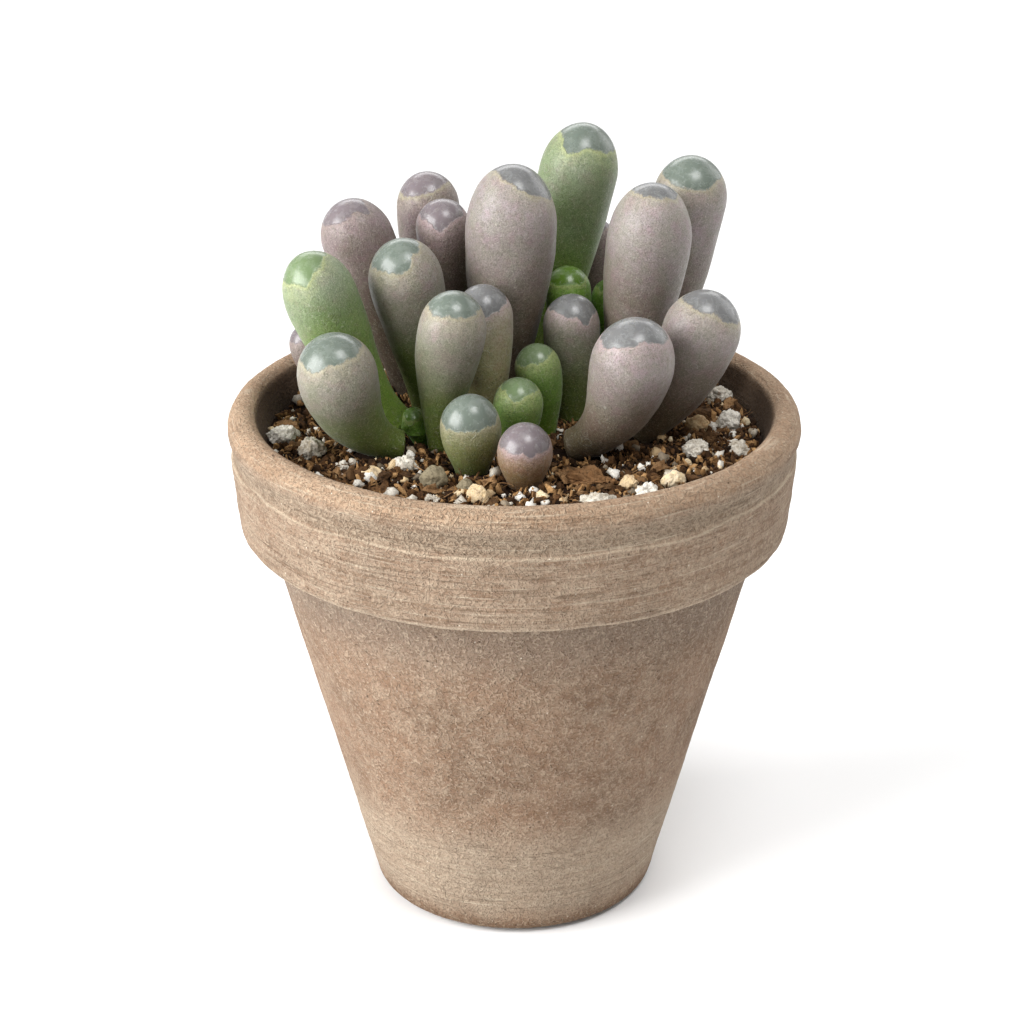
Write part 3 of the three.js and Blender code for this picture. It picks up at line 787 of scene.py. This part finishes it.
def build_soil_surface(look):
    wall = inner_radius(SOIL_TOP + 1) - WALL_GAP
    points = []
    for ring in range(1, SOIL_RINGS + 1):
        radius = wall * (ring / SOIL_RINGS) ** 0.8
        for side in range(SOIL_SIDES):
            angle = 2 * math.pi * side / SOIL_SIDES
            x, y = radius * math.cos(angle), radius * math.sin(angle)
            points.append((x, y, soil_height(x, y, look)))
    faces = grid_faces(SOIL_RINGS, SOIL_SIDES)
    outer = (SOIL_RINGS - 1) * SOIL_SIDES
    bottom = SOIL_TOP + 0.05
    points += [(x, y, bottom) for x, y, _ in points[outer:]]
    skirt = len(points) - SOIL_SIDES
    points += [(0, 0, soil_height(0, 0, look)), (0, 0, bottom)]
    for side in range(SOIL_SIDES):
        onward = (side + 1) % SOIL_SIDES
        faces.append((outer + side, skirt + side, skirt + onward, outer + onward))
        faces.append((onward, side, len(points) - 2))
        faces.append((skirt + side, len(points) - 1, skirt + onward))
    faces = [face[::-1] for face in faces]
    # the crust's near-black colour is partly the peat's own and partly painted shade for the gaps between
    # the crumbs
    peat = earthy_material("peat_and_gap_shade", ("0b0603", "22140a", "40281a"), 1.6, 0.5)
    crust = add_piece("soil_surface", points, faces, peat)
    places = np.array(points)
    store(crust, "tint", "FLOAT", [0.3] * len(points))
    room = ease(leaf_clearance(places + (0, 0, 0.8)), -0.2, 0.7)
    edge = ease(np.hypot(places[:, 0], places[:, 1]), wall - 0.2, wall - 0.9)
    upper = places[:, 2] > bottom + 0.01
    store(crust, "room", "FLOAT", room * edge * upper)
    frame["nodes"]["soil"].data.materials.clear()
    frame["nodes"]["soil"].data.materials.append(peat)
    return crust


# ---- loose top dressing ----------------------------------------------------------------------

# What lies scattered on the soil. count is per square centimetre, size the half length of the
# smallest and largest grain in millimetres, shape its three proportions and lift how far its middle
# stands over the soil in shares of its half size.
SCATTER = {
    "peat_crumbs": {"count": 330, "size": (0.16, 0.75), "shape": (1, 0.75, 0.65),
                "lift": 0.35, "slot": "soil", "tones": ("0a0503", "2c1a0c", "6a4a2c")},
    "bark_crumbs": {"count": 190, "size": (0.18, 0.8), "shape": (1, 0.42, 0.34),
                "lift": 0.7, "slot": "bark", "tones": ("170c05", "74502b", "cda26f")},
    "bark_bits": {"count": 14, "size": (0.35, 1.5), "shape": (1, 0.6, 0.42),
                "lift": 0.5, "slot": "bark", "tones": ("1c0f07", "5c4026", "a5815a")},
    "coir_fibres": {"count": 24, "size": (0.8, 2.0), "shape": (1, 1, 1),
                "lift": 0.4, "slot": "bark", "tones": ("2c1a0d", "6b4829", "b48e64")},
    "perlite_grains": {"count": 20, "size": (0.13, 0.8), "shape": (1, 0.85, 0.8),
                "lift": 0.9, "slot": "perlite", "tones": ("8f8069", "d9d3c6", "f6f2ea")},
    "pumice_grains": {"count": 8, "size": (0.16, 0.7), "shape": (1, 0.8, 0.75),
                "lift": 0.9, "slot": "pumice", "tones": ("8b653a", "cdb084", "eaddbe")},
    "stone_grains": {"count": 6, "size": (0.2, 0.8), "shape": (1, 0.85, 0.7),
                "lift": 0.8, "slot": "gravel", "tones": ("3a332a", "7d6f5c", "b3a48f")},
}
CRUMBS = ("peat_crumbs", "bark_crumbs")  # so many that each has only twenty faces
GRAIN_SHAPES = 9
FEWER_LARGE = 2.8  # the higher, the fewer large grains among the small ones
TINT_SEED = 77
LAID_FLAT, TUMBLED = 0.5, 3.14  # how far a grain may tip either way, in radians
PER_SQUARE_METRE = 1e4


def lump_mesh(name, shape, seed, crumb):
    """A rough grain of a few dozen faces, stouter or thinner by its seed."""
    stout = 0.65 + 0.7 * (seed % 5) / 4
    flat = 0.65 + 0.7 * (seed % 7) / 6
    shape = (shape[0], shape[1] * stout, shape[2] * flat)
    made = bmesh.new()
    if crumb:
        bmesh.ops.create_icosphere(made, subdivisions=1, radius=1)
    else:
        bmesh.ops.create_uvsphere(made, u_segments=7, v_segments=5, radius=1)
    for corner in made.verts:
        swell = 1 + 0.85 * noise.noise(corner.co * 1.7 + Vector((seed, 0, 0)))
        corner.co = Vector(c * s * swell for c, s in zip(corner.co, shape))
    mesh = bpy.data.meshes.new(name)
    made.to_mesh(mesh)
    made.free()
    return mesh


def fibre_mesh(name, seed):
    """A thin bent strand of unit half length."""
    steps, sides, thick = 8, 4, 0.04
    points = []
    for step in range(steps):
        share = step / (steps - 1)
        bend = 0.5 * math.sin(2.2 * share + seed) + 0.2 * math.sin(5 * share + 2 * seed)
        middle = Vector((2 * share - 1, bend, 0.12 * math.sin(6 * share + seed)))
        width = thick * (1 - 0.6 * abs(2 * share - 1))
        for side in range(sides):
            angle = 2 * math.pi * side / sides
            points.append(middle + Vector((0, width * math.cos(angle), width * math.sin(angle))))
    faces = grid_faces(steps, sides)
    faces += [tuple(range(sides))[::-1], tuple(range(len(points) - sides, len(points)))]
    mesh = bpy.data.meshes.new(name)
    mesh.from_pydata(points, [], faces)
    return mesh


def scatter_tree():
    """Grains scattered on a surface, as many as its room allows."""
    group = bpy.data.node_groups.new("scatter_grains", "GeometryNodeTree")
    sockets = (
        ("Surface", "NodeSocketGeometry"),
        ("Shapes", "NodeSocketCollection"),
        ("Count", "NodeSocketFloat"),
        ("Smallest", "NodeSocketFloat"),
        ("Largest", "NodeSocketFloat"),
        ("Lift", "NodeSocketFloat"),
        ("Tumble", "NodeSocketFloat"),
        ("Seed", "NodeSocketInt"),
        ("Stuff", "NodeSocketMaterial"),
    )
    for label, kind in sockets:
        group.interface.new_socket(label, in_out="INPUT", socket_type=kind)
    group.interface.new_socket("Grains", in_out="OUTPUT", socket_type="NodeSocketGeometry")
    t = Tree(group)
    given = t.node("NodeGroupInput").outputs
    room = t.node("GeometryNodeInputNamedAttribute", {"Name": "room"}, data_type="FLOAT").outputs[0]
    inputs = {
        "Mesh": given["Surface"],
        "Density": t.math("MULTIPLY", given["Count"], room),
        "Seed": given["Seed"],
    }
    spread = t.node("GeometryNodeDistributePointsOnFaces", inputs)
    chance = t.node(
        "FunctionNodeRandomValue", {2: 0.0, 3: 1.0, "Seed": given["Seed"]}, data_type="FLOAT"
    ).outputs[1]
    small = t.math("POWER", chance, FEWER_LARGE)
    size = t.between(small, given["Smallest"], given["Largest"])
    up = t.node("ShaderNodeCombineXYZ", {2: t.math("MULTIPLY", size, given["Lift"])}).outputs[0]
    raised = t.node(
        "GeometryNodeSetPosition", {"Geometry": spread.outputs["Points"], "Offset": up}
    ).outputs[0]
    shapes = t.node(
        "GeometryNodeCollectionInfo",
        {"Collection": given["Shapes"], "Separate Children": True, "Reset Children": True},
    ).outputs[0]
    tumble = t.node("ShaderNodeCombineXYZ", {0: given["Tumble"], 1: given["Tumble"], 2: 6.2832})
    back = t.node(
        "ShaderNodeVectorMath", {0: tumble.outputs[0], 1: (-1, -1, 0)}, operation="MULTIPLY"
    ).outputs[0]
    turn = t.node(
        "FunctionNodeRandomValue",
        {0: back, 1: tumble.outputs[0], "Seed": given["Seed"]},
        data_type="FLOAT_VECTOR",
    ).outputs[0]
    laid = t.node(
        "GeometryNodeInstanceOnPoints",
        {
            "Points": raised,
            "Instance": shapes,
            "Pick Instance": True,
            "Rotation": turn,
            "Scale": t.node("ShaderNodeCombineXYZ", {0: size, 1: size, 2: size}).outputs[0],
        },
    ).outputs[0]
    tint = t.node(
        "FunctionNodeRandomValue", {2: 0.0, 3: 1.0, "Seed": TINT_SEED}, data_type="FLOAT"
    ).outputs[1]
    named = t.node(
        "GeometryNodeStoreNamedAttribute",
        {"Geometry": laid, "Name": "tint", "Value": tint},
        data_type="FLOAT",
        domain="INSTANCE",
    ).outputs[0]
    real = t.node("GeometryNodeRealizeInstances", {"Geometry": named}).outputs[0]
    finished = t.node(
        "GeometryNodeSetMaterial", {"Geometry": real, "Material": given["Stuff"]}
    ).outputs[0]
    t.feed(t.node("NodeGroupOutput").inputs[0], finished)
    return group


def scatter(name, kind, crust, group, seed):
    shelf = bpy.data.collections.new(f"{name}_shapes")
    for index in range(GRAIN_SHAPES):
        label = f"{name}_shape_{index}"
        if name == "coir_fibres":
            mesh = fibre_mesh(label, index)
        else:
            mesh = lump_mesh(label, kind["shape"], 3 * index, name in CRUMBS)
        shelf.objects.link(bpy.data.objects.new(label, mesh))
    stuff = earthy_material(name, kind["tones"], 0.9, 0.16)
    carrier = bpy.data.objects.new(f"{name}_carrier", crust.data)
    bpy.context.scene.collection.objects.link(carrier)
    made = carrier.modifiers.new("scatter", "NODES")
    made.node_group = group
    values = {
        "Shapes": shelf,
        "Count": kind["count"] * PER_SQUARE_METRE,
        "Smallest": kind["size"][0] * MM,
        "Largest": kind["size"][1] * MM,
        "Lift": kind["lift"],
        "Tumble": LAID_FLAT if name in ("coir_fibres", "bark_bits") else TUMBLED,
        "Seed": seed,
        "Stuff": stuff,
    }
    for item in group.interface.items_tree:
        if item.in_out == "INPUT" and item.name in values:
            made[item.identifier] = values[item.name]
    seen = carrier.evaluated_get(bpy.context.evaluated_depsgraph_get())
    mesh = bpy.data.meshes.new_from_object(seen)
    mesh.name = name
    mesh.shade_flat() if kind["slot"] in ("bark", "soil") else mesh.shade_smooth()
    carrier.modifiers.remove(made)
    bpy.data.objects.remove(carrier)
    for shape in list(shelf.objects):
        bpy.data.objects.remove(shape)
    bpy.data.collections.remove(shelf)
    piece = bpy.data.objects.new(name, mesh)
    bpy.context.scene.collection.objects.link(piece)
    settle(piece)


# How rough each larger kind is: the height and width in millimetres of its lumps and of its pits,
# and how far its whole skin is drawn in to leave them room.
CHUNKS = {
    "perlite": {"lumps": (0.45, 0.8), "pits": (0.24, 0.3), "tones": ("85745a", "dcd6c9", "faf7f0")},
    "pumice": {"lumps": (0.32, 1.1), "pits": (0.14, 0.3), "tones": ("8f6226", "d9bf93", "f3e9d0")},
    "gravel": {"lumps": (0.3, 1.3), "pits": (0.1, 0.35), "tones": ("4a4233", "8a7f67", "b3a68a")},
    "bark_chip": {"lumps": (0.9, 1.3), "pits": (0.9, 0.6), "tones": ("211208", "6b4a2c", "a88058"),
                  "inset": 0.5},
}


BARK_GRAIN = (1.6, 1.6, 0.5)  # bark's relief is finer along two of its axes and coarser along one


def build_chunk(name, kind, material, slot):
    """A large grain: its packed lump's place and proportions, with a broken surface."""
    corners, _ = welded(name)
    middle = corners.mean(0)
    spread, axes = np.linalg.eigh(np.cov((corners - middle).T))
    half = np.sqrt(3 * spread)
    made = bmesh.new()
    bmesh.ops.create_icosphere(made, subdivisions=5, radius=1)
    seed = sum(map(ord, name))
    points = []
    for corner in made.verts:
        at = axes @ (half * np.array(corner.co))
        out = np.array(corner.co) / half
        out = axes @ (out / np.linalg.norm(out))
        (high, wide), (deep, small) = kind["lumps"], kind["pits"]
        grainy = axes @ (half * np.array(corner.co) * BARK_GRAIN) if slot == "bark" else at
        swell = high * rough(grainy + seed, wide, 3) - deep * abs(rough(grainy + seed, small, 2))
        swell -= kind.get("inset", 0)
        points.append(middle + at + out * swell)
    faces = [tuple(corner.index for corner in face.verts) for face in made.faces]
    made.free()
    chunk = add_piece(f"{name}_grain", points, faces, material, [name])
    store(chunk, "tint", "FLOAT", [0.35 + 0.5 * noise.noise(Vector((seed, 0.3, 0.7)))] * len(points))


# ---- stage -----------------------------------------------------------------------------------


FLOOR_SIDES = 96
FLOOR_GAP = 0.02 * MM  # how far the floor lies under the pot's base
# Soft lamps: where each stands, its width and height in metres, its watts and what it points at.
POT_MIDDLE = (0, 0, 0.05)
LAMPS = {
    "side_softbox": ((-0.55, -0.24, 0.29), (0.55, 0.45), 8, POT_MIDDLE),
    "top_softbox": ((0.12, -0.19, 0.56), (0.22, 0.22), 1.6, POT_MIDDLE),
    "fill_softbox": ((0.46, 0.3, 0.3), (0.4, 0.4), 0.9, POT_MIDDLE),
    "backdrop_softbox": ((0, 1.5, 0.9), (1.6, 0.8), 13, (0, 1.3, 0)),
}
SKY_STRENGTH = 0.41
CAMERA_PLACE = (0, -0.27506, 0.16916)
CAMERA_DOWN = 23.414  # degrees below level
CAMERA_LENS = 84.69
CAMERA_SHIFT = -0.00225
NEAREST_SEEN = 0.01


def build_stage(look):
    material, t, surface = new_material("pale_floor")
    place = object_millimetres(t)
    shade = t.smooth(t.grain(place, 300, 2), 0.3, 0.7, 0.0, 0.06)
    t.feed(surface.inputs["Base Color"], t.mix(shade, (*look.floor, 1), (*srgb("eeeeec"), 1)))
    surface.inputs["Roughness"].default_value = 0.9
    surface.inputs["Specular IOR Level"].default_value = 0.1
    radius = look.floor_radius
    turns = np.linspace(0, 2 * math.pi, FLOOR_SIDES, endpoint=False)
    rim = [(radius * math.cos(turn), radius * math.sin(turn), -FLOOR_GAP) for turn in turns]
    mesh = bpy.data.meshes.new("floor")
    mesh.from_pydata(rim, [], [tuple(range(FLOOR_SIDES))])
    mesh.materials.append(material)
    floor = bpy.data.objects.new("floor", mesh)
    bpy.context.scene.collection.objects.link(floor)


def add_lamp(name, place, size, power, target):
    """A soft rectangular lamp aimed at a target."""
    data = bpy.data.lights.new(name, "AREA")
    data.shape = "RECTANGLE"
    data.size, data.size_y = size
    data.energy = power
    lamp = bpy.data.objects.new(name, data)
    lamp.location = place
    lamp.rotation_euler = (Vector(target) - Vector(place)).to_track_quat("-Z", "Y").to_euler()
    bpy.context.scene.collection.objects.link(lamp)


def light_the_stage():
    for name, setting in LAMPS.items():
        add_lamp(name, *setting)
    world = bpy.data.worlds.new("studio")
    world.use_nodes = True
    sky = world.node_tree.nodes["Background"]
    sky.inputs["Color"].default_value = (1, 1, 1, 1)
    sky.inputs["Strength"].default_value = SKY_STRENGTH
    bpy.context.scene.world = world


def add_camera():
    data = bpy.data.cameras.new("camera")
    data.lens = CAMERA_LENS
    data.shift_x = CAMERA_SHIFT
    data.clip_start = NEAREST_SEEN
    camera = bpy.data.objects.new("camera", data)
    camera.location = CAMERA_PLACE
    camera.rotation_euler = Euler((math.radians(90 - CAMERA_DOWN), 0, 0))
    bpy.context.scene.collection.objects.link(camera)
    bpy.context.scene.camera = camera
    bpy.context.scene.view_settings.view_transform = "Standard"


# ---- operators -------------------------------------------------------------------------------


class BABYTOES_OT_pot(bpy.types.Operator):
    """Builds the weathered clay pot"""

    bl_idname = "baby_toes.pot"
    bl_label = "Clay Pot"

    def execute(self, context):
        build_pot(context.scene.baby_toes_pot)
        return {"FINISHED"}


class BABYTOES_OT_leaves(bpy.types.Operator):
    """Builds the skin of every leaf, with its clear window"""

    bl_idname = "baby_toes.leaves"
    bl_label = "Leaves"

    def execute(self, context):
        material = leaf_material()
        for name in LEAVES:
            build_leaf(name, context.scene.baby_toes_leaves, material)
        return {"FINISHED"}


class BABYTOES_OT_soil(bpy.types.Operator):
    """Builds the soil's surface, the rootstock's bark and the grains scattered on them"""

    bl_idname = "baby_toes.soil"
    bl_label = "Soil and Grains"

    def execute(self, context):
        look = context.scene.baby_toes_soil
        crust = build_soil_surface(look)
        group = scatter_tree()
        for index, (name, kind) in enumerate(SCATTER.items()):
            scatter(name, kind, crust, group, look.seed + index)
        roots = frame["nodes"]["rootstock"].data.materials
        roots.clear()
        roots.append(earthy_material("root_bark", ("4a3320", "8a6a48", "b8966c"), 1.2, 0.15))
        return {"FINISHED"}


class BABYTOES_OT_dressing(bpy.types.Operator):
    """Builds the larger pieces of perlite, pumice, gravel and bark"""

    bl_idname = "baby_toes.dressing"
    bl_label = "Top Dressing"

    def execute(self, context):
        for word, kind in CHUNKS.items():
            slot = word.split("_")[0]
            material = earthy_material(f"{word}_chunk", kind["tones"], 1.1, 0.14)
            for name in nodes_named(word):
                build_chunk(name, kind, material, slot)
        return {"FINISHED"}


class BABYTOES_OT_stage(bpy.types.Operator):
    """Adds the floor, the lamps and the camera"""

    bl_idname = "baby_toes.stage"
    bl_label = "Stage"

    def execute(self, context):
        build_stage(context.scene.baby_toes_stage)
        light_the_stage()
        add_camera()
        return {"FINISHED"}


class BABYTOES_PT_panel(bpy.types.Panel):
    """Lists the steps that build the potted plant"""

    bl_idname = "BABYTOES_PT_panel"
    bl_label = "Baby Toes"
    bl_space_type = "VIEW_3D"
    bl_region_type = "UI"
    bl_category = "Baby Toes"

    def draw(self, context):
        for step, group in STEPS:
            self.layout.operator(step.bl_idname)
            if group:
                settings = getattr(context.scene, group)
                for key in settings.bl_rna.properties.keys():
                    if key not in ("rna_type", "name"):
                        self.layout.prop(settings, key)


STEPS = (
    (BABYTOES_OT_stage, "baby_toes_stage"),
    (BABYTOES_OT_pot, "baby_toes_pot"),
    (BABYTOES_OT_leaves, "baby_toes_leaves"),
    (BABYTOES_OT_soil, "baby_toes_soil"),
    (BABYTOES_OT_dressing, None),
)
GROUPS = {
    "baby_toes_pot": PotLook,
    "baby_toes_leaves": LeafLook,
    "baby_toes_soil": SoilLook,
    "baby_toes_stage": StageLook,
}


def register():
    for name, group in GROUPS.items():
        bpy.utils.register_class(group)
        setattr(bpy.types.Scene, name, PointerProperty(type=group))
    for step, _ in STEPS:
        bpy.utils.register_class(step)
    bpy.utils.register_class(BABYTOES_PT_panel)


def unregister():
    bpy.utils.unregister_class(BABYTOES_PT_panel)
    for step, _ in STEPS:
        bpy.utils.unregister_class(step)
    for name, group in GROUPS.items():
        delattr(bpy.types.Scene, name)
        bpy.utils.unregister_class(group)


def main():
    register()
    bpy.ops.baby_toes.stage()
    bpy.ops.baby_toes.pot()
    bpy.ops.baby_toes.leaves()
    bpy.ops.baby_toes.soil()
    bpy.ops.baby_toes.dressing()


if __name__ == "__main__":
    main()
